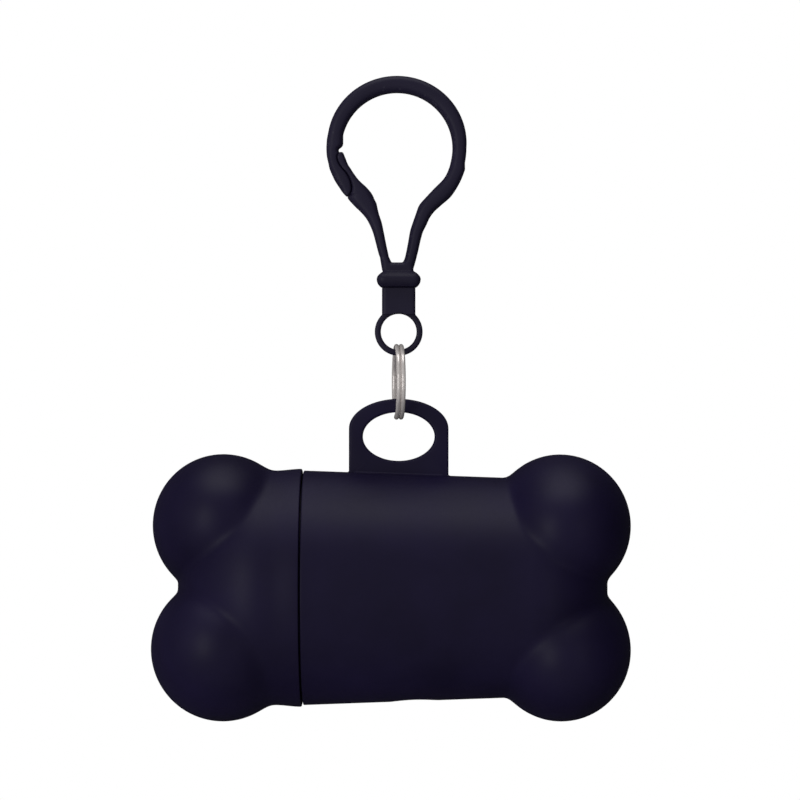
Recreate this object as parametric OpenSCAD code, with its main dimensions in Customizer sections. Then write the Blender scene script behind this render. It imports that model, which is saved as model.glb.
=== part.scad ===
// Bone-shaped dispenser for rolls of dog waste bags, hanging from a plastic swivel hook.
// Sizes are in millimetres. +Z is up, +X points to the closed end of the bone, -Y is the front.
// The origin is the inside top of the hook, where a leash loop or a belt loop bears.

/* [Hook] */
// Inner radius of the hook's round bulb
bulb_r = 9.8; // [8:0.1:13]
// In-plane width of the hook's bar at the top of the bulb
bar_top_w = 3.0; // [2:0.1:4.5]
// In-plane width of the hook's bar at the sides of the bulb
bar_side_w = 2.5; // [1.8:0.1:3.5]
// Depth of the hook, front to back
hook_depth = 4.6; // [3:0.1:7]
// Height from the middle of the bulb down to the top of the collar
hook_drop = 21.9; // [19:0.1:28]
// Gap where the gate's tongue laps the hook's nose
lap_gap = 0.2; // [0.1:0.05:0.4]
// Radius of the rounded root that the gate bends about
gate_root_r = 1.05; // [0.8:0.05:1.3]
// Radial clearance round the gate's root
root_clearance = 0.08; // [0.04:0.01:0.15]

/* [Swivel] */
// Half width of the collar under the hook
collar_r = 3.9; // [3.3:0.1:5]
// Height of the collar
collar_h = 2.7; // [1.8:0.1:4]
// Radius of the swivel post
post_r = 1.3; // [0.9:0.05:1.6]
// Length of the swivel post from the collar to its barbed head
post_len = 2.4; // [1.8:0.1:4]
// Radius of the barbed head that keeps the eye on
barb_r = 1.95; // [1.75:0.05:2.2]
// Height of the barbed head
barb_h = 1.3; // [0.8:0.1:2]
// Running clearance between the post and the eye's bore
swivel_clearance = 0.07; // [0.03:0.01:0.1]
// Gap between the collar and the eye's block
swivel_gap = 0.15; // [0.1:0.05:0.4]
// Half width of the block that turns on the post
block_r = 2.95; // [2.7:0.05:4]
// Depth of the block from front to back
block_depth = 5.4; // [5.2:0.1:7]
// Floor of the block under the barbed head
block_floor = 0.6; // [0.5:0.1:1.5]
// Inner radius of the round eye
eye_r = 3.15; // [2.6:0.05:4.5]
// Thickness of the eye's rim
eye_wire = 1.1; // [0.8:0.1:1.8]

/* [Split ring] */
// Outer diameter of the split ring
ring_d = 13.4; // [12:0.1:16]
// Thickness of the ring's wire
ring_wire = 0.8; // [0.6:0.05:0.95]
// Distance between the middles of the ring's two turns
ring_pitch = 1.25; // [1.22:0.01:1.35]
// Angle that the ring is turned on the eye, seen from above
ring_turn = 4; // [-10:1:10]
// Gap between the ring and the rim of the eye that it hangs on
ring_gap = 0.2; // [0.1:0.05:0.35]

/* [Hanging tab] */
// Width of the tab
tab_w = 17.6; // [15:0.1:24]
// Thickness of the tab, front to back
tab_t = 3; // [2.2:0.1:4]
// Width of the tab's oval hole
hole_w = 12.7; // [10:0.1:13]
// Height of the tab's oval hole
hole_h = 8.6; // [7:0.1:11]
// Height of the rim above the hole
rim_h = 2.4; // [1.8:0.1:3]
// Height of the rim below the hole, down to the top of the tube
foot_h = 1.7; // [1:0.1:4]
// Height of the arch's ends above the middle of the hole
arch_lift = 1.4; // [0:0.1:2.5]
// How far the tab's foot is sunk into the wall of the tube
tab_sink = 2.2; // [1:0.1:2.5]
// Rounding of the tab's edges
tab_edge_r = 0.9; // [0.4:0.1:1]
// Gap between the ring and the top of the tab's hole
tab_gap = 0.5; // [0.45:0.05:0.8]

/* [Bone] */
// Distance from the hook's middle plane to the seam between cap and case
seam_x = 16.5; // [14:0.5:18]
// Gap between the cap's rim and the case
seam_gap = 0.3; // [0.15:0.05:0.6]
// Wall of the cap over the neck, which makes the tube's radius at the seam
cap_wall = 2.25; // [1.6:0.05:3.5]
// How much narrower the tube is where the case's closed end begins
tube_taper = 1.4; // [0:0.1:1.6]
// How far before the chamber's end the case's domed end begins
case_dome_back = 4.8; // [3:0.1:7]
// Length of the case's domed end
case_dome_len = 14.5; // [13.5:0.1:18]
// How far before the chamber's end the cap's domed end begins
cap_dome_back = 6.1; // [4:0.1:7.5]
// Length of the cap's domed end
cap_dome_len = 15.3; // [14.5:0.1:18]
// How far past the chamber's end the middles of the case's lobes lie
case_lobe_past = 1.4; // [0:0.1:3]
// How far past the chamber's end the middles of the cap's lobes lie
cap_lobe_past = 1.2; // [0:0.1:3]
// How far the lobes stand out above and below the tube at the seam
lobe_rise = 2.85; // [1.5:0.05:4]
// Half width of a lobe of the case along the bone
case_lobe_w = 12.4; // [11.5:0.1:14]
// Half width of a lobe of the cap along the bone
cap_lobe_w = 12.6; // [11.5:0.1:14]
// Half height of a lobe
lobe_h = 12.6; // [11.5:0.1:14]
// How much less deep a lobe is than the tube, front to back
lobe_inset = 1.8; // [1.4:0.1:5]
// How far the creases between lobes and tube are softened
crease_r = 1.1; // [0.5:0.1:4]
// Angle that the cap is turned on its neck against the case
cap_turn = -10; // [-20:1:20]
// Height of the raised band round the cap's rim
lip_h = 0.3; // [0.1:0.05:0.6]
// Width of the raised band round the cap's rim
lip_w = 4.6; // [2.5:0.1:6]

/* [Inside] */
// Room round the roll in its chamber
roll_slack = 1.6; // [0.8:0.1:2.5]
// Room at each end of the roll
end_slack = 0.5; // [0.2:0.05:1.5]
// Distance from the middle plane to the cap's end of the chamber
chamber_x = 29.5; // [29:0.1:30]
// Depth of the tapered space past the chamber in the case
case_taper_len = 4.2; // [3:0.1:5.5]
// Depth of the tapered space past the chamber in the cap
cap_taper_len = 6.4; // [3:0.1:6.6]
// Radius at the small end of those tapered spaces
taper_r = 8; // [5:0.5:8.5]
// Wall of the neck that the cap slides over
neck_wall = 1.75; // [1.2:0.05:2.2]
// Length of the neck
neck_len = 9; // [5:0.5:10]
// Radial clearance between the neck and the cap
neck_clearance = 0.1; // [0.05:0.01:0.1]
// Gap between the end of the neck and its seat in the cap
neck_end_gap = 0.3; // [0.1:0.05:0.6]
// Height of the pockets that core out the lobes
pocket_h = 9.6; // [6:0.1:10.4]
// Width of those pockets, front to back
pocket_w = 18.6; // [12:0.1:19]
// Depth of the case's pockets past the end of the chamber
case_pocket_len = 3; // [1:0.1:9]
// Depth of the cap's pockets past the end of the chamber
cap_pocket_len = 10; // [4:0.1:10.5]
// Length of the slot that bags are pulled out of
slot_len = 26; // [18:1:32]
// Width of that slot
slot_w = 5; // [4.5:0.1:7]
// Diameter of the round thumb hole in the middle of that slot
slot_eye_d = 10; // [7:0.5:14]
// Distance from the middle plane to the middle of the slot
slot_x = 3; // [1:0.5:6]

/* [Bag roll] */
// Outer diameter of the roll of bags
roll_d = 30; // [20:0.5:30.5]
// Length of the roll
roll_len = 56; // [40:0.5:56]
// Outer diameter of the cardboard core
core_d = 15; // [10:0.5:18]
// Wall of the cardboard core
core_wall = 1; // [0.6:0.1:2]
// Gap between the roll and the floor of the chamber
roll_gap = 0.3; // [0.2:0.05:0.5]

/* [Hidden] */
$fn = 96;

// Length far larger than the object, for a ray that misses a lobe
miss = 1000;
// Overlap that keeps cuts and joins clear of shared faces
eps = 0.05;
// Bulb radius and drop that the hook's rungs below were drawn for
drawn_bulb_r = 9.8;
drawn_drop = 21.9;
// Angles between which the hook's bulb is a true arc, and its number of steps
bulb_from = 166;
bulb_to = -12;
bulb_steps = 24;
// Sideways place of the swivel, the ring and the tab
stem_x = 0.3;
// Softened corners of the hook's neck, and how far its foot stays inside the collar's flat top
neck_soft = 0.5;
neck_inset = 0.35;
// Swell of the collar past its upper face, as a share of its height, and past the block under it
collar_swell = 0.4;
collar_lip = 0.15;
// Radius left at the collar's corners between its upper face and its swell
collar_corner = 0.3;
// Exponent that makes the hook's section boxier than an oval
boxy = 0.75;
// Corner radius of the swivel's block, how far its foot reaches past the top of the eye's hole,
// and how much wider than that hole the foot is cut
block_corner = 0.7;
block_foot = 0.1;
block_relief = 0.15;
// Angle round the split ring at which its wire begins
ring_start = -30;
// Length over which the band round the cap's rim runs out into the tube
lip_fade = 1;
// Colours of the moulded plastic, the plated wire, the cardboard and the film
BLACK = "#26242c";
NICKEL = "#b9b4ab";
CARD = "#b08f66";
FILM = "#4f9a4a";

// Radii from the roll outwards: chamber, neck, bore of the cap, tube at both ends
chamber_r = roll_d / 2 + roll_slack;
neck_r = chamber_r + neck_wall;
cap_bore_r = neck_r + neck_clearance;
tube_r = cap_bore_r + cap_wall;
tube_end_r = tube_r - tube_taper;
// The chamber's length and the place of its closed end
chamber_len = roll_len + 2 * end_slack;
chamber_end_x = chamber_len - chamber_x;
// Half depth of a lobe, and the height of its middle above or below the tube's axis
lobe_d = tube_r - lobe_inset;
lobe_out = tube_r + lobe_rise - lobe_h;

// Heights down the chain of parts, each hung from the one above
bulb_z = -bulb_r;
collar_z = bulb_z - hook_drop;
post_z = collar_z - collar_h;
block_z = post_z - swivel_gap;
barb_z = post_z - post_len;
barb_end_z = barb_z - barb_h;
block_end_z = barb_end_z - swivel_gap - block_floor;
eye_z = block_end_z - eye_r - eye_wire / 4;
rim_z = eye_z - eye_r - eye_wire / 2;
ring_top_z = rim_z + eye_wire / 2 + ring_gap + ring_wire;
ring_z = ring_top_z - ring_d / 2;
ring_low_z = ring_top_z - ring_d + ring_wire / 2;
hole_top_z = ring_low_z + ring_wire / 2 + tab_gap;
hole_z = hole_top_z - hole_h / 2;
arch_z = hole_z + arch_lift;
bone_z = hole_top_z - hole_h - foot_h - tube_r;

// Radii of the collar's upper and lower faces, and height of the barb's straight edge
collar_flat_r = collar_r - collar_h * collar_swell;
collar_low_r = max(collar_flat_r, block_r + collar_lip);
// Corner radius of the collar's swell, and half of its depth
collar_corner_r = collar_r - collar_flat_r + collar_corner;
collar_half_depth = max(collar_corner_r + eps, block_depth / 2 + collar_r - block_r);
barb_land = barb_h * 0.3;
// Mean radius of the split ring's wire
ring_r = (ring_d - ring_wire) / 2;
// The roll lies on the floor of the chamber, midway along it
roll_drop = roll_slack - roll_gap;
roll_x = chamber_end_x - chamber_len / 2;

// Lap of the hook's nose and the gate's tongue, as rows down from the middle of the bulb:
// depth of the row, then the sideways place of the nose's outside, the parting line
// and the gate's inside
lap_rows = [
    [0.8, -12.48, -10.2, -9.5],
    [1.3, -12.44, -10.5, -9.3],
    [1.9, -12.33, -10.55, -9.05],
    [2.8, -12.12, -10.25, -8.7],
    [3.6, -11.95, -9.65, -8.2],
    [4.6, -11.54, -8.8, -7.55],
    [5.7, -11.03, -8.25, -6.7],
    [6.9, -10.25, -8.0, -5.4],
    [7.7, -9.72, -8.1, -4.7],
    [8.2, -9.28, -8.4, -4.35],
];

// Rungs of the gate below the lap, from its outside to its inside: x and depth of each end
gate_rungs = [
    [-8.75, 8.75, -4.2, 8.5],
    [-8.2, 9.5, -3.95, 9.1],
    [-7.35, 10.4, -3.6, 9.8],
    [-6.3, 11.4, -3.4, 10.8],
    [-5.4, 12.5, -3.1, 11.9],
    [-4.8, 13.6, -2.7, 13.1],
    [-4.3, 14.8, -2.4, 14.5],
    [-3.92, 16.1, -2.1, 16.0],
    [-3.57, 17.5, -1.8, 17.5],
    [-3.3, 18.6, -1.5, 18.6],
];

// Rungs of the arm on the other side, from the bulb down to the neck
arm_rungs = [
    [12.05, 3.8, 9.35, 3.1],
    [11.48, 5.3, 8.8, 4.5],
    [10.7, 6.85, 8.05, 5.65],
    [9.5, 8.6, 6.6, 7.1],
    [7.8, 10.1, 5.0, 8.8],
    [6.6, 11.2, 3.9, 10.1],
    [5.8, 12.3, 3.3, 11.7],
    [5.2, 13.6, 2.7, 13.4],
    [4.6, 14.8, 2.3, 14.7],
    [4.15, 16.4, 2.0, 16.4],
    [3.8, 18.0, 1.7, 18.0],
    [3.45, 19.4, 1.4, 19.3],
    [3.15, 20.5, 0.95, 20.2],
    [2.85, 21.5, -0.8, 21.4],
];

// Middle of the gate's root, in the same measures
root_at = [-2.4, 18.9];

// Discs that fill the neck between the two arms: x, depth and radius
neck_discs = [[-1.95, 20.5, 1], [1.95, 21.2, 0.95]];

// A point of the hook's plane from its drawn place
function hook_at(x, depth) =
    [x * bulb_r / drawn_bulb_r, bulb_z - depth * hook_drop / drawn_drop];

// A rung as its two ends in the hook's plane
function rung(x1, depth1, x2, depth2) = [hook_at(x1, depth1), hook_at(x2, depth2)];

// Rungs of the bulb's arc, from the lip above the gate round to the far side
function bulb_rungs() = [
    for (i = [0:bulb_steps])
        let (a = bulb_from + (bulb_to - bulb_from) * i / bulb_steps,
             up = max(0, sin(a)),
             w = bar_side_w + (bar_top_w - bar_side_w) * up * (2 - up),
             d = [cos(a), sin(a)])
            [[0, bulb_z] + (bulb_r + w) * d, [0, bulb_z] + bulb_r * d]
];

// Element of a list, held at its ends
function held(list, i) = list[max(0, min(len(list) - 1, i))];

// Smooth curve through a list of rungs, with steps points from one to the next
function smooth(p, steps) = [
    for (i = [0:len(p) - 2])
        for (k = [0:steps - 1])
            let (t = k / steps, a = held(p, i - 1), b = p[i], c = p[i + 1], d = held(p, i + 2))
                0.5 * (2 * b + (c - a) * t + (2 * a - 5 * b + 4 * c - d) * t * t
                    + (3 * b - a - 3 * c + d) * t * t * t),
    p[len(p) - 1],
];

// Eased step from 0 to 1 while t goes from 0 to 1
function eased(t) = let (c = min(1, max(0, t))) c * c * (3 - 2 * c);

// Signed power, for rounded boxy sections
function spow(v, p) = sign(v) * pow(abs(v), p);

// Closed section across a rung: as wide as the rung, as deep as the hook, corners rounded
function bar_section(r, depth, sides = 16) = [
    for (j = [0:sides - 1])
        let (a = 360 * j / sides, s = spow(cos(a), boxy),
             m = (r[0] + r[1]) / 2, h = (r[1] - r[0]) / 2)
            [m[0] + h[0] * s, depth / 2 * spow(sin(a), boxy), m[1] + h[1] * s]
];

// Solid skinned over a row of rings with equal numbers of points. Its ends are closed by flat
// faces or by a point each, or the last ring is joined to the first
module skin(rings, closed = false, foot = undef, tip = undef) {
    n = len(rings[0]);
    m = len(rings);
    bands = closed ? m : m - 1;
    points = concat([for (r = rings) each r], foot == undef ? [] : [foot], tip == undef ? [] : [tip]);
    tip_at = len(points) - 1;
    sides = [
        for (i = [0:bands - 1])
            for (j = [0:n - 1])
                let (a = i * n + j, b = i * n + (j + 1) % n, step = i == m - 1 ? -i * n : n)
                    each [[a, b, b + step], [a, b + step, a + step]]
    ];
    start = closed ? [] : foot == undef ? [[for (j = [n - 1:-1:0]) j]]
        : [for (j = [0:n - 1]) [(j + 1) % n, j, m * n]];
    end = closed ? [] : tip == undef ? [[for (j = [0:n - 1]) (m - 1) * n + j]]
        : [for (j = [0:n - 1]) [(m - 1) * n + j, (m - 1) * n + (j + 1) % n, tip_at]];
    polyhedron(points, concat(sides, start, end), convexity = 8);
}

// Cylinder that lies front to back at a point of the hook's plane
module cross_pin(p, r, depth) {
    translate([p[0], 0, p[1]])
        rotate([90, 0, 0])
            cylinder(r = r, h = depth, center = true);
}

// Flat disc with softened edges, front to back, used to round out the neck
module pebble(p, r, depth) {
    cross_pin(p, r, depth - 2 * neck_soft);
    cross_pin(p, r - neck_soft, depth);
}

root_p = hook_at(root_at[0], root_at[1]);

module hook_frame() {
    nose = [for (i = [len(lap_rows) - 1:-1:0])
        let (q = lap_rows[i]) rung(q[1], q[0], q[2] - lap_gap / 2, q[0])];
    nose_tip = [rung(-9.0, 8.47, -8.7, 8.43)];
    lip = [rung(-12.5, 0.2, -10.32, 0.2), rung(-12.5, -0.35, -9.6, -0.45), rung(-12.42, -1.6, -9.5, -1.4)];
    arm = [for (q = arm_rungs) rung(q[0], q[1], q[2], q[3])];
    path = concat(smooth(concat(nose_tip, nose, lip), 2), bulb_rungs(), smooth(arm, 2));
    foot_r = min(hook_depth / 2, collar_flat_r - neck_inset);
    color(BLACK)
    difference() {
        union() {
            skin([for (i = [len(path) - 1:-1:0]) bar_section(path[i], hook_depth)]);
            hull() {
                for (q = neck_discs)
                    pebble(hook_at(q[0], q[1]), q[2], hook_depth);
                for (side = [-1, 1])
                    translate([stem_x + side * (collar_flat_r - neck_inset - foot_r), 0, collar_z - eps])
                        cylinder(r = foot_r, h = neck_soft, $fn = 32);
            }
            translate([stem_x, 0, 0])
                swivel_post();
        }
        cross_pin(root_p, gate_root_r + root_clearance, 2 * hook_depth);
    }
}

// Collar with a flat front and rounded corners, over the round post with its barbed head
module swivel_post() {
    middle_z = (collar_z + post_z) / 2;
    swell = [for (t = [1:-0.2:-1])
        [collar_corner_r - (collar_r - (t > 0 ? collar_flat_r : collar_low_r)) * t * t,
         middle_z + t * collar_h / 2]];
    hull()
        for (x = [-1, 1], y = [-1, 1])
            translate([x * (collar_r - collar_corner_r), y * (collar_half_depth - collar_corner_r), 0])
                rotate_extrude($fn = 32)
                    polygon(concat([[0, collar_z]], swell, [[0, post_z]]));
    rotate_extrude()
        polygon([[0, post_z + eps], [post_r, post_z + eps], [post_r, barb_z], [barb_r, barb_z],
                 [barb_r, barb_z - barb_land], [post_r, barb_end_z], [0, barb_end_z]]);
}

module gate_arm() {
    tongue = [for (q = lap_rows) rung(q[2] + lap_gap / 2, q[0], q[3], q[0])];
    body = [for (q = gate_rungs) rung(q[0], q[1], q[2], q[3])];
    rungs = smooth(concat(tongue, body), 2);
    color(BLACK) {
        skin([for (r = rungs) bar_section(r, hook_depth)]);
        cross_pin(root_p, gate_root_r, hook_depth);
    }
}

// Upright block with rounded corners, standing at z = 0
module rounded_block(width, depth, corner, height) {
    linear_extrude(height = height) {
        square([width, depth - 2 * corner], center = true);
        square([width - 2 * corner, depth], center = true);
        for (x = [-1, 1], y = [-1, 1])
            translate([x * (width / 2 - corner), y * (depth / 2 - corner)])
                circle(r = corner);
    }
}

module swivel_eye() {
    cavity_r = barb_r + swivel_clearance;
    foot_z = eye_z + eye_r - block_foot;
    color(BLACK)
    translate([stem_x, 0, 0])
        difference() {
            union() {
                difference() {
                    translate([0, 0, foot_z])
                        rounded_block(2 * block_r, block_depth, block_corner, block_z - foot_z);
                    translate([0, 0, eye_z])
                        rotate([90, 0, 0])
                            cylinder(r = eye_r + block_relief, h = 2 * block_depth, center = true);
                }
                translate([0, 0, eye_z])
                    rotate([90, 0, 0])
                        rotate_extrude()
                            translate([eye_r + eye_wire / 2, 0])
                                circle(d = eye_wire, $fn = 48);
            }
            translate([0, 0, barb_z - eps])
                cylinder(r = post_r + swivel_clearance, h = post_len + 1);
            translate([0, 0, barb_end_z - swivel_gap])
                cylinder(r = cavity_r, h = barb_h + 2 * swivel_gap);
        }
}

// Path of the split ring: one turn in the left plane, a sloping step, one turn in the right plane
ring_steps = 44;
ring_sweep = 660;
ring_step_from = 300;
ring_step_to = 360;
function ring_side(a) = ring_pitch * (eased((a - ring_step_from) / (ring_step_to - ring_step_from)) - 0.5);
function ring_out(a) = [0, cos(a + ring_start), sin(a + ring_start)];
function ring_point(a) = [ring_side(a), 0, 0] + ring_r * ring_out(a);

module split_ring() {
    rings = [
        for (i = [0:ring_steps])
            let (a = ring_sweep * i / ring_steps, p = ring_point(a), out = ring_out(a),
                 wire = i == 0 || i == ring_steps ? ring_wire * 0.7 : ring_wire)
                [for (j = [0:7]) p + wire / 2 * (cos(45 * j) * out + sin(45 * j) * [1, 0, 0])]
    ];
    color(NICKEL)
    translate([stem_x, 0, ring_z])
        rotate([0, 0, ring_turn])
            skin(rings);
}

// Distance along direction d from o to the far side of an ellipsoid at c with half axes s
function far_side(o, d, c, s) =
    let (p = [for (i = [0:2]) (o[i] - c[i]) / s[i]], q = [for (i = [0:2]) d[i] / s[i]],
         b = p * q, k = b * b - (q * q) * (p * p - 1))
        k < 0 ? -miss : (-b + sqrt(k)) / (q * q);

// The larger of two distances, eased where they meet
function eased_max(a, b, r) = max(a, b) + pow(max(r - abs(a - b), 0), 2) / (4 * r);

// One end of the bone as [radius at the rim, start, radius and length of the dome,
// place and half width of the lobes along the tube, height and width of the band at the rim]
case_deep = chamber_end_x + seam_x;
cap_deep = chamber_x - seam_x - seam_gap;
case_end = [tube_r, case_deep - case_dome_back, tube_end_r, case_dome_len,
            case_deep + case_lobe_past, case_lobe_w, 0, lip_w];
cap_end = [tube_r, cap_deep - cap_dome_back, tube_r, cap_dome_len,
           cap_deep + cap_lobe_past, cap_lobe_w, lip_h, lip_w];
// Rings of facets along the tube of each end
case_rings = 15;
cap_rings = 8;

// Distance from a point on the axis to the skin of one end of the bone
function bone_reach(e, u, d) =
    let (o = [u, 0, 0], half = [e[5], lobe_d, lobe_h],
         lip = e[6] * eased((e[7] - u) / lip_fade),
         tube = u < e[1] ? e[0] + (e[2] - e[0]) * u / e[1] + lip
             : far_side(o, d, [e[1], 0, 0], [e[3], e[2], e[2]]),
         upper = far_side(o, d, [e[4], 0, lobe_out], half),
         lower = far_side(o, d, [e[4], 0, -lobe_out], half))
        eased_max(eased_max(upper, lower, crease_r), tube, crease_r);

// One end of the bone with its rim at x = 0: rings along the tube up to the middle of its lobes,
// then rings that close in round that point
module bone_end(e, along, round = 64, closing = 13) {
    side = [for (i = [0:along]) let (u = e[4] * i / along)
        [for (j = [0:round - 1]) let (a = -360 * j / round, d = [0, cos(a), sin(a)])
            [u, 0, 0] + bone_reach(e, u, d) * d]];
    end = [for (i = [1:closing - 1]) let (b = 90 * (1 - i / closing))
        [for (j = [0:round - 1])
            let (a = -360 * j / round, d = [cos(b), sin(b) * cos(a), sin(b) * sin(a)])
                [e[4], 0, 0] + bone_reach(e, e[4], d) * d]];
    skin(concat(side, end), foot = [0, 0, 0], tip = [e[4] + bone_reach(e, e[4], [1, 0, 0]), 0, 0]);
}

// Prism of a slot's outline, long in X, standing on the plane z = 0
module slot_prism(len, width, height) {
    span = len - width;
    translate([-span / 2, -width / 2, 0])
        cube([span, width, height]);
    for (x = [-span / 2, span / 2])
        translate([x, 0, 0])
            cylinder(d = width, h = height);
}

// Chamber for the roll, open at x = 0 towards -X, with its tapered end and the lobes' pockets
module chamber(len, taper_len, pocket_len) {
    translate([-eps, 0, 0])
        rotate([0, 90, 0])
            cylinder(r = chamber_r, h = len + eps);
    translate([len - eps, 0, 0])
        rotate([0, 90, 0])
            cylinder(r1 = chamber_r - eps, r2 = taper_r, h = taper_len);
    for (s = [-1, 1])
        translate([len - eps, 0, s * lobe_out])
            rotate([0, 90, 0])
                rotate([0, 0, 90])
                    slot_prism(pocket_w, pocket_h, pocket_len);
}

// Hanging tab: an arched plate with rounded edges round its oval hole
module tab() {
    stations = 48;
    depth = arch_z - (bone_z + tube_r) + tab_sink;
    loop = [
        for (i = [0:stations - 1])
            let (a = -360 * i / stations, c = cos(a), s = sin(a), m = max(abs(c), abs(s)),
                 inner = [hole_w / 2 * c, hole_z + hole_h / 2 * s],
                 outer = s >= 0 ? [tab_w / 2 * c, arch_z + (hole_top_z + rim_h - arch_z) * s]
                     : [tab_w / 2 * c / m, arch_z + depth * s / m],
                 span = norm(outer - inner), way = (outer - inner) / span)
                [for (q = tab_section(span)) [inner[0] + way[0] * q[0], q[1], inner[1] + way[1] * q[0]]]
    ];
    translate([stem_x, 0, 0])
        skin(loop, closed = true);
}

// Rounded rectangle of the tab's thickness, from its hole at 0 outwards
function tab_section(span) =
    let (e = tab_edge_r, y = tab_t / 2 - e)
        [for (k = [[span - e, y, 0], [e, y, 90], [e, -y, 180], [span - e, -y, 270]])
            for (a = [0:45:90]) [k[0] + e * cos(k[2] + a), k[1] + e * sin(k[2] + a)]];

module case_shell() {
    color(BLACK)
    difference() {
        union() {
            translate([-seam_x, 0, bone_z])
                bone_end(case_end, case_rings);
            translate([-seam_x - neck_len, 0, bone_z])
                rotate([0, 90, 0])
                    cylinder(r = neck_r, h = neck_len + 2);
            tab();
        }
        translate([-seam_x - neck_len, 0, bone_z])
            chamber(case_deep + neck_len, case_taper_len, case_pocket_len);
        translate([slot_x, 0, bone_z])
            bag_slot();
    }
}

// Slot along the underside with a round thumb hole in its middle
module bag_slot() {
    drop = 2 * tube_r;
    translate([0, 0, -drop]) {
        slot_prism(slot_len, slot_w, drop);
        cylinder(d = slot_eye_d, h = drop);
    }
}

module end_cap() {
    color(BLACK)
    translate([-seam_x - seam_gap, 0, bone_z])
        rotate([cap_turn, 0, 0])
            mirror([1, 0, 0])
                difference() {
                    bone_end(cap_end, cap_rings);
                    chamber(cap_deep, cap_taper_len, cap_pocket_len);
                    translate([-eps, 0, 0])
                        rotate([0, 90, 0])
                            cylinder(r = cap_bore_r, h = neck_len - seam_gap + neck_end_gap + eps);
                }
}

// Tube that lies along the bone in the place of the roll
module roll_tube(outer_r, inner_r) {
    translate([roll_x, 0, bone_z - roll_drop])
        rotate([0, 90, 0])
            difference() {
                cylinder(r = outer_r, h = roll_len, center = true);
                cylinder(r = inner_r, h = roll_len + 1, center = true);
            }
}

module roll_core() {
    color(CARD)
        roll_tube(core_d / 2, core_d / 2 - core_wall);
}

module bag_roll() {
    color(FILM)
        roll_tube(roll_d / 2, core_d / 2);
}

hook_frame();
gate_arm();
swivel_eye();
split_ring();
case_shell();
end_cap();
roll_core();
bag_roll();
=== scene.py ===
import math

import bmesh
import bpy
import numpy as np
from mathutils import Matrix, Vector


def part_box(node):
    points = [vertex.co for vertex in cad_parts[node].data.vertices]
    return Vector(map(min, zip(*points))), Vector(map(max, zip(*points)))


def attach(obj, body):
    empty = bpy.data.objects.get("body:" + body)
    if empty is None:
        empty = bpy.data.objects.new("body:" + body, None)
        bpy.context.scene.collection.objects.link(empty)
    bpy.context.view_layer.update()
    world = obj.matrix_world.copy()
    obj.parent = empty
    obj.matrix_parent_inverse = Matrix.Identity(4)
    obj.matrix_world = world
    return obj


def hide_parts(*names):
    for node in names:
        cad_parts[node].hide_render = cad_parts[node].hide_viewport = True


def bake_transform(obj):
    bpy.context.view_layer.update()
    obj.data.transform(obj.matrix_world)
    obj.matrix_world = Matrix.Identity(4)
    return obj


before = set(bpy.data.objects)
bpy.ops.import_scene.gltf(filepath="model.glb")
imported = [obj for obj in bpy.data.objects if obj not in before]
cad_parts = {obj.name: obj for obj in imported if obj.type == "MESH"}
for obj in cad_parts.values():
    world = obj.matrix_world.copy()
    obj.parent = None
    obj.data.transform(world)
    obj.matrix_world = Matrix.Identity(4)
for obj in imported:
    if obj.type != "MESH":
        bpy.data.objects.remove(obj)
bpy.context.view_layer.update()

# Lengths are in millimetres and angles in degrees, unless a comment says otherwise. The axes are
# the frame's: +X to the bone's closed end, -Y to the front, +Z up.
MM = 0.001

# Kinds of node that come up often
MATH = "ShaderNodeMath"
VECTOR = "ShaderNodeVectorMath"
RANGE = "ShaderNodeMapRange"
MIX = "ShaderNodeMix"
JOIN = "ShaderNodeCombineXYZ"
SPLIT = "ShaderNodeSeparateXYZ"
PLACE = "ShaderNodeTexCoord"
MAPPING = "ShaderNodeMapping"
NOISE = "ShaderNodeTexNoise"
BUMP = "ShaderNodeBump"
SHADER = "ShaderNodeBsdfPrincipled"
SURFACE = "ShaderNodeOutputMaterial"

# Most values of a noise texture lie between these
NOISE_LOW = 0.3
NOISE_HIGH = 0.7


def extent(node_name):
    """Lowest and highest corner of a CAD node, in millimetres."""
    low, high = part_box(node_name)
    return low / MM, high / MM


HOOK_LOW, HOOK_HIGH = extent("hook_frame")
EYE_LOW, EYE_HIGH = extent("swivel_eye")
RING_LOW, RING_HIGH = extent("split_ring")
CASE_LOW, CASE_HIGH = extent("case_shell")
CAP_LOW, CAP_HIGH = extent("end_cap")
ROLL_LOW, ROLL_HIGH = extent("bag_roll")

# Overlap that keeps cuts clear of shared faces, and how close points are to be merged
EPS = 0.05
MERGE = 0.0005
# Sides of what is turned round: the bone's inside, and the small parts of hook and swivel
BONE_SIDES = 128
SMALL_SIDES = 96

# Hook: the bulb, which is a true arc between two angles, and the bar's section
STEM_X = (EYE_LOW.x + EYE_HIGH.x) / 2
BULB_R = 9.8
BULB_Z = -BULB_R
BULB_FROM = 166
BULB_TO = -12
BULB_STEPS = 60
BAR_SIDE = 2.5
BAR_TOP = HOOK_HIGH.z
HOOK_DEPTH = 4.6
# Exponents of the bar's section: lower is squarer, as it is where nose and gate lap
BOXY = 0.75
LAP_BOXY = 0.4
# Sections from one rung of the bar to the next
RUNG_STEPS = 4

# Hook's neck: two rounded heads side by side under the crotch, and a foot on the collar
NECK_HEADS_X = (-1.75, 1.95)
NECK_HEAD_Z = BULB_Z - 21.2
NECK_HEAD_R = 0.95
NECK_SOFT = 0.5
NECK_FOOT_INSET = 0.2
NECK_FOOT_CORNER = 0.8

# Collar: its crowned edge swells between two narrower faces
COLLAR_Z = -31.7
COLLAR_H = 2.7
COLLAR_R = 3.9
COLLAR_SWELL = 0.4
COLLAR_CORNER = 0.3
COLLAR_FLAT_R = COLLAR_R - COLLAR_SWELL * COLLAR_H
COLLAR_LOW_R = 3.1
COLLAR_CORNER_R = COLLAR_R - COLLAR_FLAT_R + COLLAR_CORNER
COLLAR_HALF_DEPTH = HOOK_HIGH.y

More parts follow.
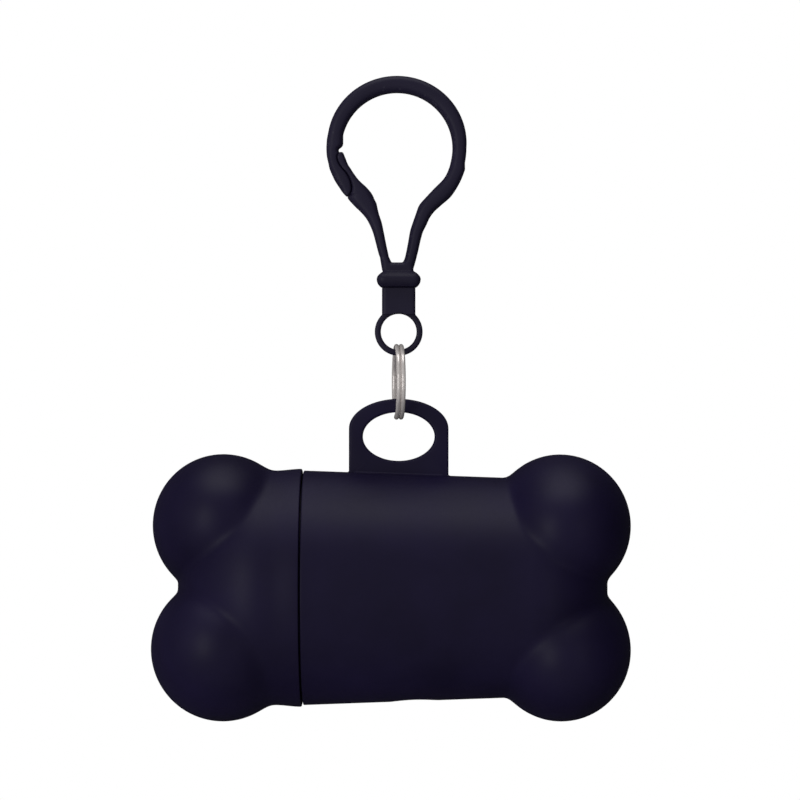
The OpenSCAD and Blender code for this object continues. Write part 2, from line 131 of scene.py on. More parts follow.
# Post under the collar, with the barb that holds the swivel
POST_R = 1.3
BARB_R = 1.95
BARB_H = 1.3
BARB_LAND = 0.4
BARB_END_Z = HOOK_LOW.z
BARB_Z = BARB_END_Z + BARB_H

# Gate: the gap at the parting line of the hook's nose and the gate's tongue
# Negative, so that the parting line of nose and gate is closed at rest
LAP_GAP = -0.04

# Lap of the hook's nose and the gate's tongue, as rows down from the middle of the bulb: depth,
# then x of the nose's outside, of the parting line and of the gate's inside
LAP_ROWS = [
    (0.8, -12.48, -10.2, -9.5),
    (1.3, -12.44, -10.5, -9.3),
    (1.9, -12.33, -10.55, -9.05),
    (2.8, -12.12, -10.25, -8.7),
    (3.6, -11.95, -9.65, -8.2),
    (4.6, -11.54, -8.8, -7.55),
    (5.7, -11.03, -8.25, -6.7),
    (6.9, -10.25, -8.0, -5.4),
    (7.7, -9.72, -8.1, -4.7),
    (8.2, -9.28, -8.4, -4.35),
]
# Rungs across the bar, each with the x and the depth of both ends: the nose's tip under the lap,
# the lip of the nose over it, the gate from the lap to its root, and the other arm down to the neck
NOSE_TIP = (-9.0, 8.47, -8.7, 8.43)
NOSE_LIP = [
    (-12.5, 0.2, -10.32, 0.2),
    (-12.5, -0.35, -9.6, -0.45),
    (-12.42, -1.6, -9.5, -1.4),
]
GATE_RUNGS = [
    (-8.75, 8.75, -4.2, 8.5),
    (-8.2, 9.5, -3.95, 9.1),
    (-7.35, 10.4, -3.6, 9.8),
    (-6.3, 11.4, -3.4, 10.8),
    (-5.4, 12.5, -3.1, 11.9),
    (-4.8, 13.6, -2.7, 13.1),
    (-4.3, 14.8, -2.4, 14.5),
    (-3.92, 16.1, -2.1, 16.0),
    (-3.57, 17.5, -1.8, 17.5),
    (-3.25, 18.7, -1.55, 18.6),
    (-2.93, 19.9, -1.2, 19.7),
    (-2.7, 21.3, -0.5, 21.2),
]
ARM_RUNGS = [
    (12.05, 3.8, 9.35, 3.1),
    (11.48, 5.3, 8.8, 4.5),
    (10.7, 6.85, 8.05, 5.65),
    (9.5, 8.6, 6.6, 7.1),
    (7.8, 10.1, 5.0, 8.8),
    (6.6, 11.2, 3.9, 10.1),
    (5.8, 12.3, 3.3, 11.7),
    (5.2, 13.6, 2.7, 13.4),
    (4.6, 14.8, 2.3, 14.7),
    (4.15, 16.4, 2.0, 16.4),
    (3.8, 18.0, 1.7, 18.0),
    (3.45, 19.4, 1.4, 19.3),
    (3.15, 20.5, 0.95, 20.2),
    (2.85, 21.5, -0.8, 21.4),
]

# Swivel: the eye, and over it the block with its bore. The block's foot is cut round the eye's hole.
SWIVEL_CLEARANCE = 0.07
SWIVEL_GAP = 0.15
EYE_WIRE = 1.1
EYE_R = (EYE_HIGH.x - EYE_LOW.x) / 2 - EYE_WIRE
EYE_Z = EYE_LOW.z + EYE_WIRE + EYE_R
BLOCK_R = 2.95
BLOCK_CORNER = 0.7
BLOCK_SOFT = 0.12
BLOCK_FOOT = 0.1
BLOCK_RELIEF = 0.15
BLOCK_HALF_DEPTH = EYE_HIGH.y
BLOCK_FOOT_Z = EYE_Z + EYE_R - BLOCK_FOOT
BLOCK_CUT_R = EYE_R + BLOCK_RELIEF
# The block stands a little higher than the solid, because no gap shows over it in the photograph
BLOCK_Z = EYE_HIGH.z + 0.4 * SWIVEL_GAP

# Split ring: round wire in nearly two turns, which steps across halfway. The ring stands turned a
# little about the upright, as in the photograph.
RING_WIRE = 0.8
RING_SIDES = 20
RING_R = (RING_HIGH.z - RING_LOW.z - RING_WIRE) / 2
RING_PITCH = 0.81
RING_START = -30
RING_SWEEP = 660
RING_STEP_FROM = 300
RING_STEP_TO = 360
RING_TURN = 4

# Hanging tab over the case: an arch round an oval hole, sunk into the tube
TAB_W = 17.6
TAB_T = 3.0
TAB_EDGE = 0.5
HOLE_W = 12.7
HOLE_H = 8.6
RIM_H = 2.4
ARCH_LIFT = 1.4
TAB_SINK = 2.2
TAB_TOP = CASE_HIGH.z
HOLE_Z = TAB_TOP - RIM_H - HOLE_H / 2
FOOT_FILLET = 0.35
FOOT_SINK = 1.0

# Chamber from end to end, and the neck of the case that the cap slides over
CHAMBER_FROM_X = -29.5
CHAMBER_TO_X = 27.5
CHAMBER_R = 16.6
TAPER_R = 8.0
NECK_WALL = 1.75
NECK_LEN = 9.0
NECK_R = CHAMBER_R + NECK_WALL
NECK_CLEARANCE = 0.1
NECK_END_GAP = 0.3
NECK_CHAMFER = 0.35
NECK_ROOT = 2
MOUTH_CHAMFER = 0.3
SEAM_GAP = 0.3

# Bone: seam, tube, lobes, and the raised band that runs out from the cap's rim
BONE_Z = (CAP_LOW.z + CAP_HIGH.z) / 2
CAP_RIM_X = CAP_HIGH.x
CASE_RIM_X = CAP_RIM_X + SEAM_GAP
TUBE_R = 20.7
TUBE_END_R = 19.3
LOBE_INSET = 1.8
LOBE_RISE = 2.85
LOBE_D = TUBE_R - LOBE_INSET
LOBE_H = 12.6
LOBE_OUT = TUBE_R + LOBE_RISE - LOBE_H
# How far the creases are softened. Blender's smooth maximum adds a sixth of its reach where two
# surfaces meet, and the source's adds a quarter.
CREASE = 1.1
CREASE_REACH = CREASE * 6 / 4
LIP_H = 0.3
LIP_W = 4.6
LIP_FADE = 4.4
RIM_EDGE = 0.2
CAP_TURN = -10

# Each end of the bone: chamber from the rim, how far before its end the dome begins, the dome's
# length, how far past it the lobes' middles lie, their half width, and the spaces cored out past it
CASE_DEEP = CHAMBER_TO_X - CASE_RIM_X
CASE_DOME_BACK = 4.8
CASE_DOME_LEN = 14.5
CASE_LOBE_PAST = 1.4
CASE_LOBE_W = 12.4
CASE_TAPER = 4.2
CASE_POCKET = 3.0
CAP_DEEP = CAP_RIM_X - CHAMBER_FROM_X
CAP_DOME_BACK = 6.1
CAP_DOME_LEN = 15.3
CAP_LOBE_PAST = 1.2
CAP_LOBE_W = 12.6
CAP_TAPER = 6.4
CAP_POCKET = 10.0
POCKET_H = 9.6
POCKET_W = 18.6

# Slot for the bags, with its wider middle
SLOT_X = 3.0
SLOT_LEN = 26.0
SLOT_W = 5.0
SLOT_EYE = 10.0

# Roll of bags
ROLL_R = (ROLL_HIGH.y - ROLL_LOW.y) / 2
ROLL_LEN = ROLL_HIGH.x - ROLL_LOW.x
ROLL_X = (ROLL_HIGH.x + ROLL_LOW.x) / 2
ROLL_Z = (ROLL_HIGH.z + ROLL_LOW.z) / 2
CORE_R = 7.5

# The photograph: millimetres a pixel, its side in pixels, the pixel at the frame's origin, and the
# distance that the camera stood at
PIXEL = 0.177
PHOTO_SIDE = 800
ORIGIN_PIXEL = (397, 93)
CAMERA_AWAY = 510.6


def srgb(code):
    """Linear colour of an sRGB hex value."""
    parts = [int(code[i:i + 2], 16) / 255 for i in (1, 3, 5)]
    return [c / 12.92 if c <= 0.04045 else ((c + 0.055) / 1.055) ** 2.4 for c in parts] + [1.0]


def node(tree, kind, inputs=(), **settings):
    """Adds a node with its settings. Inputs go by place or name: a value, a socket or a node."""
    made = tree.nodes.new(kind)
    for name, value in settings.items():
        setattr(made, name, value)
    usable = [s for s in made.inputs if s.enabled]
    pairs = inputs.items() if isinstance(inputs, dict) else enumerate(inputs)
    for key, value in pairs:
        if isinstance(key, int):
            socket = usable[key]
        else:
            socket = next(s for s in usable if s.name == key)
        if isinstance(value, bpy.types.Node):
            value = next(s for s in value.outputs if s.enabled)
        if isinstance(value, bpy.types.NodeSocket):
            tree.links.new(value, socket)
        else:
            socket.default_value = value
    return made


def blank_material(name):
    """A new material and its empty tree."""
    made = bpy.data.materials.new(name)
    made.use_nodes = True
    made.node_tree.nodes.clear()
    return made, made.node_tree


def moulded_black(name, base, worn, roughness, grain_size):
    """Moulded plastic, coloured through: near black with a cold cast, a satin skin with the fine
    spark-eroded grain of the mould, and edges rubbed a little lighter by handling."""
    cloud_size = 14
    grain_relief = 0.02
    tone_swing = 0.18
    worn_share = 0.6
    made, tree = blank_material(name)
    place = node(tree, PLACE).outputs["Object"]
    cloud = node(tree, NOISE, {"Vector": place, "Scale": 1 / (cloud_size * MM), "Detail": 3.0})
    grain = node(tree, NOISE, {"Vector": place, "Scale": 1 / (grain_size * MM), "Detail": 2.0})
    # Pointiness is a half on flat skin and more on an edge
    edge = node(tree, "ShaderNodeNewGeometry").outputs["Pointiness"]
    rubbed = node(tree, RANGE, [edge, 0.52, 0.62, 0.0, worn_share], clamp=True)
    tone = node(tree, RANGE, [cloud, NOISE_LOW, NOISE_HIGH, 1 - tone_swing, 1 + tone_swing])
    plain = node(tree, VECTOR, {0: srgb(base)[:3], "Scale": tone}, operation="SCALE")
    colour = node(tree, MIX, [rubbed, plain, srgb(worn)], data_type="RGBA")
    speck = node(tree, MATH, [cloud, 0.6, grain], operation="MULTIPLY_ADD")
    gloss = node(tree, RANGE, [speck, 0.5, 1.1, roughness - 0.05, roughness + 0.07])
    bump = node(tree, BUMP, {"Strength": 0.22, "Distance": grain_relief * MM, "Height": grain})
    shader = node(tree, SHADER, {"Base Color": colour, "Roughness": gloss, "Normal": bump,
                                 "IOR": 1.49, "Specular IOR Level": 0.2})
    node(tree, SURFACE, {"Surface": shader})
    return made


def nickel_steel():
    """Nickel-plated spring steel: bright and slightly warm, with faint drawing lines along the wire
    that scatter part of the light, so that it stays pale where it mirrors nothing bright."""
    line_len = 17.4
    line_gap = 0.014
    line_relief = 0.01
    made, tree = blank_material("nickel_plated_steel_wire")
    along = node(tree, "ShaderNodeAttribute", attribute_name="along").outputs["Fac"]
    around = node(tree, "ShaderNodeAttribute", attribute_name="around").outputs["Fac"]
    lines = node(tree, JOIN, [along, around])
    # The first counts radians of the ring, and the second the points round the wire
    stretch = (RING_R / line_len, math.pi * RING_WIRE / RING_SIDES / line_gap, 1.0)
    drawn = node(tree, MAPPING, {"Vector": lines, "Scale": stretch})
    streak = node(tree, NOISE, {"Vector": drawn, "Scale": 1.0, "Detail": 4.0})
    gloss = node(tree, RANGE, [streak, NOISE_LOW, NOISE_HIGH, 0.09, 0.2])
    tint = node(tree, MIX, [streak, srgb("#e0d7d4"), srgb("#f4efec")], data_type="RGBA")
    bump = node(tree, BUMP, {"Strength": 0.1, "Distance": line_relief * MM, "Height": streak})
    shader = node(tree, SHADER, {"Base Color": tint, "Roughness": gloss, "Normal": bump,
                                 "Metallic": 0.5})
    node(tree, SURFACE, {"Surface": shader})
    return made


def bag_film():
    """Blown polyethylene film, wound tight: soft green with a waxy shine, paler where layers part."""
    crease_len = 22
    crease_gap = 3
    crease_relief = 0.15
    glow_depth = 0.5
    made, tree = blank_material("blown_polyethylene_film")
    place = node(tree, PLACE).outputs["Object"]
    stretch = (1 / (crease_len * MM), 1 / (crease_gap * MM), 1 / (crease_gap * MM))
    drawn = node(tree, MAPPING, {"Vector": place, "Scale": stretch})
    crease = node(tree, NOISE, {"Vector": drawn, "Scale": 1.0, "Detail": 5.0})
    parted = node(tree, RANGE, [crease, 0.35, 0.65, 0.0, 1.0])
    colour = node(tree, MIX, [parted, srgb("#3f8a3d"), srgb("#62ab58")], data_type="RGBA")
    gloss = node(tree, RANGE, [crease, NOISE_LOW, NOISE_HIGH, 0.32, 0.5])
    bump = node(tree, BUMP, {"Strength": 0.5, "Distance": crease_relief * MM, "Height": crease})
    shader = node(tree, SHADER, {"Base Color": colour, "Roughness": gloss, "Normal": bump,
                                 "IOR": 1.51, "Subsurface Weight": 0.1,
                                 "Subsurface Scale": glow_depth * MM})
    node(tree, SURFACE, {"Surface": shader})
    return made


def core_board():
    """Spiral-wound grey board: dull brown, with paper fibre and a dark line where the strip meets."""
    strip = 14
    fibre_len = 2.5
    fibre_gap = 0.5
    relief = 0.08
    line = 0.035
    made, tree = blank_material("wound_board")
    place = node(tree, PLACE).outputs["Object"]
    centred = node(tree, MAPPING, {"Vector": place, "Location": (0, 0, -ROLL_Z * MM)})
    axes = node(tree, SPLIT, [centred])
    turn = node(tree, MATH, [axes.outputs["Y"], axes.outputs["Z"]], operation="ARCTAN2")
    turns = node(tree, MATH, [turn, 1 / math.tau, 0.5], operation="MULTIPLY_ADD")
    wound = node(tree, MATH, [axes.outputs["X"], 1 / (strip * MM), turns],
                 operation="MULTIPLY_ADD")
    across = node(tree, MATH, [wound], operation="FRACT")
    seam = node(tree, RANGE, [across, 0.0, line, 1.0, 0.0], clamp=True)
    stretch = (1 / (fibre_len * MM), 1 / (fibre_gap * MM), 1 / (fibre_gap * MM))
    drawn = node(tree, MAPPING, {"Vector": place, "Scale": stretch})
    fibre = node(tree, NOISE, {"Vector": drawn, "Scale": 1.0, "Detail": 6.0})
    pale = node(tree, RANGE, [fibre, NOISE_LOW, NOISE_HIGH, 0.0, 1.0])
    board = node(tree, MIX, [pale, srgb("#a0805a"), srgb("#bd9d74")], data_type="RGBA")
    colour = node(tree, MIX, [seam, board, srgb("#6f563a")], data_type="RGBA")
    height = node(tree, MATH, [fibre, seam], operation="SUBTRACT")
    bump = node(tree, BUMP, {"Strength": 0.6, "Distance": relief * MM, "Height": height})
    shader = node(tree, SHADER, {"Base Color": colour, "Roughness": 0.85, "Normal": bump,
                                 "IOR": 1.5})
    node(tree, SURFACE, {"Surface": shader})
    return made


def mesh_piece(name, points, faces):
    """An object at the origin from points in millimetres."""
    mesh = bpy.data.meshes.new(name)
    mesh.from_pydata([tuple(Vector(p) * MM) for p in points], [], faces)
    made = bpy.data.objects.new(name, mesh)
    bpy.context.scene.collection.objects.link(made)
    return made


def plain_mesh(piece):
    """Replaces a piece's mesh by its evaluated one, without modifiers."""
    tree = bpy.context.evaluated_depsgraph_get()
    mesh = bpy.data.meshes.new_from_object(piece.evaluated_get(tree))
    piece.modifiers.clear()
    piece.data = mesh
    return piece


def outward(piece, matrix=None):
    """Merges doubles, places the mesh and turns its faces outwards."""
    work = bmesh.new()
    work.from_mesh(piece.data)
    bmesh.ops.remove_doubles(work, verts=work.verts, dist=MERGE * MM)
    if matrix is not None:
        bmesh.ops.transform(work, matrix=matrix, verts=work.verts)
    bmesh.ops.recalc_face_normals(work, faces=work.faces)
    work.to_mesh(piece.data)
    work.free()
    return piece


def loft(name, rings, closed=False):
    """Closed skin over rings of equal numbers of points, capped at both ends or joined end to end."""
    rings = np.asarray(rings, float)
    count, sides = rings.shape[:2]
    points = [tuple(p) for p in rings.reshape(-1, 3)]
    faces = []
    for i in range(count if closed else count - 1):
        for j in range(sides):
            k = (j + 1) % sides
            n = (i + 1) % count
            faces.append((i * sides + j, i * sides + k, n * sides + k, n * sides + j))
    if not closed:
        for ring, way in ((0, 1), (count - 1, -1)):
            points.append(tuple(rings[ring].mean(0)))
            for j in range(sides):
                pair = (ring * sides + j, ring * sides + (j + 1) % sides)
                faces.append((pair[::way]) + (len(points) - 1,))
    return outward(mesh_piece(name, points, faces))


def wrapped(name, points):
    """Tightest convex skin round points in millimetres."""
    piece = mesh_piece(name, points, [])
    work = bmesh.new()
    work.from_mesh(piece.data)
    bmesh.ops.convex_hull(work, input=work.verts)
    work.to_mesh(piece.data)
    work.free()
    return piece


def circle(radius, sides, u=0.0, v=0.0):
    """Points of a circle round (u, v)."""
    turns = [math.tau * k / sides for k in range(sides)]
    return [(u + radius * math.cos(a), v + radius * math.sin(a)) for a in turns]


def rounded_outline(half_width, half_depth, corner, steps=8):
    """Points of a rectangle's outline with rounded corners, round its middle."""
    points = []
    for quarter, (side, front) in enumerate(((1, 1), (-1, 1), (-1, -1), (1, -1))):
        for k in range(steps + 1):
            a = math.pi / 2 * (quarter + k / steps)
            points.append((side * (half_width - corner) + corner * math.cos(a),
                           front * (half_depth - corner) + corner * math.sin(a)))
    return points


def slot_outline(length, width, steps=16):
    """Points of a slot's outline, long in its first axis."""
    reach = (length - width) / 2
    points = []
    for end in (1, -1):
        for k in range(steps + 1):
            a = math.pi * (k / steps - 0.5)
            points.append((end * (reach + width / 2 * math.cos(a)),
                           end * width / 2 * math.sin(a)))
    return points


def lathe(name, profile, sides, axis="Z", centre=(0, 0, 0)):
    """Solid turned about an axis through centre, from a closed profile of (along, radius)."""
    rings = []
    for u, v in circle(1, sides):
        ring = []
        for along, radius in profile:
            point = [radius * u, radius * v]
            point.insert("XYZ".index(axis), along)
            ring.append([p + c for p, c in zip(point, centre)])
        rings.append(ring)
    return loft(name, rings, closed=True)


def combined(base, tools, operation):
    """Base with tools cut out of it or added to it, as one mesh. The tools are used up."""
    for tool in tools:
        change = base.modifiers.new(operation.lower(), "BOOLEAN")
        change.operation = operation
        change.solver = "EXACT"
        change.object = tool
        plain_mesh(base)
        bpy.data.objects.remove(tool)
    return base


def eased(piece, passes):
    """Softens a piece's edges. The modifier is left for plain_mesh to apply."""
    soft = piece.modifiers.new("soft", "SMOOTH")
    soft.factor = 0.5
    soft.iterations = passes
    return piece


def moulded(base, parts, voxel, passes):
    """Base and parts fused in one skin whose joins are rounded, as in one moulding."""
    joined = bmesh.new()
    for piece in [base] + parts:
        joined.from_mesh(piece.data)
    joined.to_mesh(base.data)
    joined.free()
    for piece in parts:
        bpy.data.objects.remove(piece)
    fused = base.modifiers.new("fused", "REMESH")
    fused.mode = "VOXEL"
    fused.voxel_size = voxel * MM
    return plain_mesh(eased(base, passes))


def finished(piece, skin, body, slot, *stands_for, sharp=None):
    """Gives a piece its material, shading and body, and hides the CAD nodes it stands for; slot is not
    used.
    """
    piece.data.materials.clear()
    piece.data.materials.append(skin)
    piece.data.shade_smooth()
    if sharp:
        piece.data.set_sharp_from_angle(angle=math.radians(sharp))
    if body:
        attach(piece, body)
    if stands_for:
        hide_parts(*stands_for)
    return piece


def geometry_tree(name, sizes):
    """A Geometry Nodes tree with a named input for each size. Returns the tree and the inputs."""
    tree = bpy.data.node_groups.new(name, "GeometryNodeTree")
    tree.interface.new_socket("Geometry", in_out="OUTPUT", socket_type="NodeSocketGeometry")
    for size in sizes:
        kind = "NodeSocketInt" if isinstance(sizes[size], int) else "NodeSocketFloat"
        tree.interface.new_socket(size, in_out="INPUT", socket_type=kind)
    entry = tree.nodes.new("NodeGroupInput")
    return tree, {s.name: s for s in entry.outputs if s.name}


def grown(name, tree, geometry, skin, sizes):
    """Ends a tree in Realize Instances and Set Material, runs it with its sizes and keeps the mesh.
    Sizes that are whole numbers are counts, and the others are in millimetres."""
    whole = node(tree, "GeometryNodeRealizeInstances", [geometry])
    dressed = node(tree, "GeometryNodeSetMaterial", {"Geometry": whole, "Material": skin})
    node(tree, "NodeGroupOutput", [dressed])
    piece = mesh_piece(name, [], [])
    change = piece.modifiers.new(name, "NODES")
    change.node_group = tree
    for item in tree.interface.items_tree:
        if item.in_out == "INPUT":
            value = sizes[item.name]
            change[item.identifier] = value if isinstance(value, int) else value * MM
    return plain_mesh(piece)


def far_side(tree, origin, direction, centre, half):
    """Distance along a direction from origin to the far side of an ellipsoid with these half axes,
    or a negative one where the ray misses it."""
    offset = node(tree, VECTOR, [origin, centre], operation="SUBTRACT")
    p = node(tree, VECTOR, [offset, half], operation="DIVIDE")
    q = node(tree, VECTOR, [direction, half], operation="DIVIDE")
    pq = node(tree, VECTOR, [p, q], operation="DOT_PRODUCT")
    qq = node(tree, VECTOR, [q, q], operation="DOT_PRODUCT")
    pp = node(tree, VECTOR, [p, p], operation="DOT_PRODUCT")
    outside = node(tree, MATH, [pp, 1.0], operation="SUBTRACT")
    less = node(tree, MATH, [qq, outside], operation="MULTIPLY")
    squared = node(tree, MATH, [pq, pq], operation="MULTIPLY")
    inside = node(tree, MATH, [squared, less], operation="SUBTRACT")
    root = node(tree, MATH, [inside], operation="SQRT")
    reach = node(tree, MATH, [root, pq], operation="SUBTRACT")
    reach = node(tree, MATH, [reach, qq], operation="DIVIDE")
    missed = node(tree, MATH, [inside, 0.0], operation="LESS_THAN")
    return node(tree, MATH, [missed, -1.0, reach], operation="MULTIPLY_ADD")


def bone_end(name, skin, sizes):
    """One end of the bone with its rim at x = 0: a tube that ends in a dome, with a lobe above and
    one below, and soft creases between them. Rings follow the axis up to the middle of the lobes
    and then close in round that point."""
    tree, size = geometry_tree(name + "_skin", sizes)

    # A flat grid to be rolled up: its rows become the rings, after one that closes the rim
    rows = node(tree, MATH, [size["Rings"], size["Closing rings"]], operation="ADD")
    rows = node(tree, MATH, [rows, 2.0], operation="ADD")
    seams = node(tree, MATH, [size["Sides"], 1.0], operation="ADD")
    grid = node(tree, "GeometryNodeMeshGrid", {"Size X": 1.0, "Size Y": 1.0, "Vertices X": rows,
                                               "Vertices Y": seams})
    flat = node(tree, SPLIT, [node(tree, "GeometryNodeInputPosition")])
    last = node(tree, MATH, [rows, 1.0], operation="SUBTRACT")
    down = node(tree, MATH, [flat.outputs["X"], 0.5], operation="ADD")
    row = node(tree, MATH, [down, last], operation="MULTIPLY")
    turn = node(tree, MATH, [flat.outputs["Y"], math.tau], operation="MULTIPLY")

    # Where each ring's rays start on the axis, with rings closer together near the rim, and the
    # direction they take: straight out from the tube, and more and more forward in the closing end
    middle = node(tree, MATH, [size["Rings"], 1.0], operation="ADD")
    share = node(tree, RANGE, [row, 1.0, middle, 0.0, 1.0], clamp=True)
    crowded = node(tree, MATH, [share, 1.5], operation="POWER")
    x = node(tree, MATH, [crowded, size["Lobe place"]], operation="MULTIPLY")
    tilt = node(tree, RANGE, [row, middle, last, math.pi / 2, 0.0], clamp=True)
    ahead = node(tree, MATH, [tilt], operation="COSINE")
    side = node(tree, MATH, [tilt], operation="SINE")
    across = node(tree, MATH, [turn], operation="COSINE")
    across = node(tree, MATH, [side, across], operation="MULTIPLY")
    up = node(tree, MATH, [turn], operation="SINE")
    up = node(tree, MATH, [side, up], operation="MULTIPLY")
    direction = node(tree, JOIN, [ahead, across, up])
    origin = node(tree, JOIN, [x])

    # How far each ray reaches: the tube with its raised band, then the dome, and the lobes
    lip_from = node(tree, MATH, [size["Lip width"], size["Lip fade"]], operation="SUBTRACT")
    lip = node(tree, RANGE, [x, lip_from, size["Lip width"], size["Lip height"], 0.0],
               interpolation_type="SMOOTHSTEP")
    tube = node(tree, RANGE,
                [x, 0.0, size["Dome start"], size["Rim radius"], size["Dome radius"]])
    tube = node(tree, MATH, [tube, lip], operation="ADD")
    dome_at = node(tree, JOIN, [size["Dome start"]])
    dome_half = node(tree, JOIN, [size["Dome length"], size["Dome radius"], size["Dome radius"]])
    dome = far_side(tree, origin, direction, dome_at, dome_half)
    on_tube = node(tree, MATH, [x, size["Dome start"]], operation="LESS_THAN")
    reach = node(tree, MIX, [on_tube, dome, tube], data_type="FLOAT")
    lobe_half = node(tree, JOIN, [size["Lobe half width"], size["Lobe half depth"],
                                  size["Lobe half height"]])
    for way in (1.0, -1.0):
        out = node(tree, MATH, [size["Lobe height"], way], operation="MULTIPLY")
        lobe_at = node(tree, JOIN, [size["Lobe place"], 0.0, out])
        lobe = far_side(tree, origin, direction, lobe_at, lobe_half)
        reach = node(tree, MATH, [reach, lobe, size["Crease"]], operation="SMOOTH_MAX")

    # A quarter round at the rim, and the first row drawn in to the axis
    near = node(tree, RANGE, [x, 0.0, size["Rim edge"], 1.0, 0.0], clamp=True)
    near = node(tree, MATH, [near, near], operation="MULTIPLY")
    kept = node(tree, MATH, [near, -1.0, 1.0], operation="MULTIPLY_ADD")
    kept = node(tree, MATH, [kept], operation="SQRT")
    drop = node(tree, MATH, [1.0, kept], operation="SUBTRACT")
    cut = node(tree, MATH, [drop, size["Rim edge"]], operation="MULTIPLY")
    reach = node(tree, MATH, [reach, cut], operation="SUBTRACT")
    opened = node(tree, MATH, [row, 0.5], operation="GREATER_THAN")
    reach = node(tree, MATH, [reach, opened], operation="MULTIPLY")

    ray = node(tree, VECTOR, {0: direction, "Scale": reach}, operation="SCALE")
    place = node(tree, VECTOR, [origin, ray], operation="ADD")
    shaped = node(tree, "GeometryNodeSetPosition", {"Geometry": grid, "Position": place})
    sealed = node(tree, "GeometryNodeMergeByDistance",
                  {"Geometry": shaped, "Distance": MERGE * MM})
    return outward(grown(name, tree, sealed, skin, sizes))


def bone_sizes(deep, dome_back, dome_len, lobe_past, lobe_w, dome_r, lip_h, rings):
    """Named sizes of one end of the bone."""
    return {
        "Rim radius": TUBE_R, "Dome start": deep - dome_back, "Dome radius": dome_r,
        "Dome length": dome_len, "Lobe place": deep + lobe_past, "Lobe half width": lobe_w,
        "Lobe half depth": LOBE_D, "Lobe half height": LOBE_H, "Lobe height": LOBE_OUT,
        "Crease": CREASE_REACH, "Lip height": lip_h, "Lip width": LIP_W,
        "Lip fade": LIP_FADE, "Rim edge": RIM_EDGE,
        "Rings": rings, "Sides": 160, "Closing rings": 44,
    }


def hollow(deep, mouth, taper, pocket):
    """Tools that hollow one end of the bone: the chamber with its mouth and tapered end, and the
    pockets in the lobes. Mouth is the chamber's profile from x = 0 as (x, radius)."""
    end = [(deep, CHAMBER_R), (deep + taper, TAPER_R), (deep + taper, 0)]
    tools = [lathe("chamber", [(-EPS, 0)] + mouth + end, BONE_SIDES, "X")]
    for way in (1, -1):
        rings = [[(x, u, way * LOBE_OUT + v) for u, v in slot_outline(POCKET_W, POCKET_H)]
                 for x in (deep - EPS, deep + pocket)]
        tools.append(loft("pocket", rings))
    return tools


def hanging_tab():
    """Arched plate round its oval hole, with rounded edges, as a ring of sections."""
    stations = 144
    corner_steps = 6
    arch_z = HOLE_Z + ARCH_LIFT
    foot = arch_z - (BONE_Z + TUBE_R) + TAB_SINK
    flat = TAB_T / 2 - TAB_EDGE
    rings = []
    for c, s in circle(1, stations):
        inner = Vector((HOLE_W / 2 * c, HOLE_Z + HOLE_H / 2 * s))
        if s >= 0:
            outer = Vector((TAB_W / 2 * c, arch_z + (TAB_TOP - arch_z) * s))
        else:
            big = max(abs(c), abs(s))
            outer = Vector((TAB_W / 2 * c / big, arch_z + foot * s / big))
        span = (outer - inner).length
        way = (outer - inner) / span
        ring = []
        for out, y, start in ((span - TAB_EDGE, flat, 0), (TAB_EDGE, flat, 90),
                              (TAB_EDGE, -flat, 180), (span - TAB_EDGE, -flat, 270)):
            for k in range(corner_steps + 1):
                b = math.radians(start + 90 * k / corner_steps)
                p = inner + way * (out + TAB_EDGE * math.cos(b))
                ring.append((STEM_X + p.x, y + TAB_EDGE * math.sin(b), p.y))
        rings.append(ring)
    return loft("tab", rings, closed=True)


def tube_top(x):
    """Height of the top of the case's tube at x."""
    length = CASE_DEEP - CASE_DOME_BACK
    return BONE_Z + TUBE_R + (TUBE_END_R - TUBE_R) * (x - CASE_RIM_X) / length


def tab_foot():
    """Fillet round the tab where it stands on the tube, with a root inside the wall."""
    steps = 6
    sides = 64
    rings = []
    for h in [-FOOT_SINK] + [FOOT_FILLET * k / steps for k in range(steps + 1)]:
        near = 1 - max(h, 0) / FOOT_FILLET
        spread = FOOT_FILLET * (1 - math.sqrt(1 - near * near))
        half_w = TAB_W / 2 + spread
        half_t = TAB_T / 2 + spread
        ring = []
        for k in range(sides):
            a = math.tau * (k + 0.5) / sides
            x = STEM_X + (half_w - half_t) * math.copysign(1, math.cos(a)) + half_t * math.cos(a)
            ring.append((x, half_t * math.sin(a), tube_top(x) + h))
        rings.append(ring)
    return loft("foot", rings)


def bone_case(skin):
    """The larger part of the bone, with the neck, the tab, the chamber and the slot for the bags."""
    sizes = bone_sizes(CASE_DEEP, CASE_DOME_BACK, CASE_DOME_LEN, CASE_LOBE_PAST, CASE_LOBE_W,
                       dome_r=TUBE_END_R, lip_h=0.0, rings=110)
    shell = bone_end("bone_case", skin, sizes)
    outward(shell, Matrix.Translation((CASE_RIM_X * MM, 0, BONE_Z * MM)))
    start = CASE_RIM_X - NECK_LEN
    root = CASE_RIM_X + NECK_ROOT
    profile = [(start, 0), (start, NECK_R - NECK_CHAMFER), (start + NECK_CHAMFER, NECK_R),
               (root, NECK_R), (root, 0)]
    neck = lathe("neck", profile, BONE_SIDES, "X", (0, 0, BONE_Z))
    combined(shell, [neck, hanging_tab(), tab_foot()], "UNION")

    mouth = [(-EPS, CHAMBER_R + NECK_CHAMFER), (NECK_CHAMFER, CHAMBER_R)]
    tools = hollow(CASE_DEEP + NECK_LEN, mouth, CASE_TAPER, CASE_POCKET)
    for tool in tools:
        outward(tool, Matrix.Translation((start * MM, 0, BONE_Z * MM)))
    below = BONE_Z - 2 * TUBE_R
    for outline in (slot_outline(SLOT_LEN, SLOT_W), circle(SLOT_EYE / 2, 64)):
        rings = [[(SLOT_X + u, v, z) for u, v in outline] for z in (below, BONE_Z)]
        tools.append(loft("slot", rings))
    combined(shell, tools, "DIFFERENCE")
    outward(shell)
    return finished(shell, skin, "case", "case_plastic", "case_shell", sharp=32)


